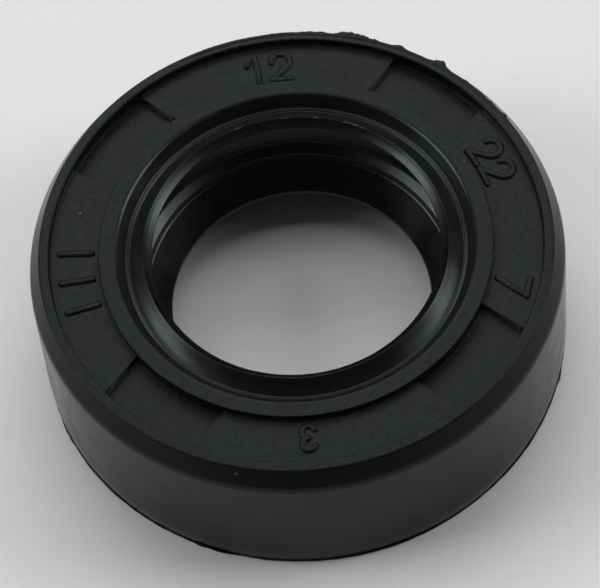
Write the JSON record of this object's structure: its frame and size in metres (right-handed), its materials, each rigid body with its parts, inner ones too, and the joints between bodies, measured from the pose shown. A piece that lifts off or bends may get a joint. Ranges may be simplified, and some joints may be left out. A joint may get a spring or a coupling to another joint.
{
  "type": "sealing ring",
  "caption": "Black rubber shaft seal ring with a main lip, a dust lip, a garter spring and a bonded steel case; it keeps oil in and dust out where a shaft leaves a housing.",
  "frame": {"origin": "centre of the back face on the ring's axis, where the open spring side stands on the surface", "axes": "+Z along the ring's axis from the open spring side towards the marked front face; -Y towards the viewer of the picture"},
  "size_m": [0.022, 0.022, 0.007],
  "materials": {
    "black_rubber": "satin black moulded nitrile rubber, smoother on the lips than on the face",
    "case_steel": "grey phosphated pressed steel",
    "spring_steel": "bright drawn spring wire"
  },
  "bodies": {
    "root": {"rubber_body": "black_rubber", "steel_case": "case_steel", "garter_spring": "spring_steel"}
  },
  "joints": []
}
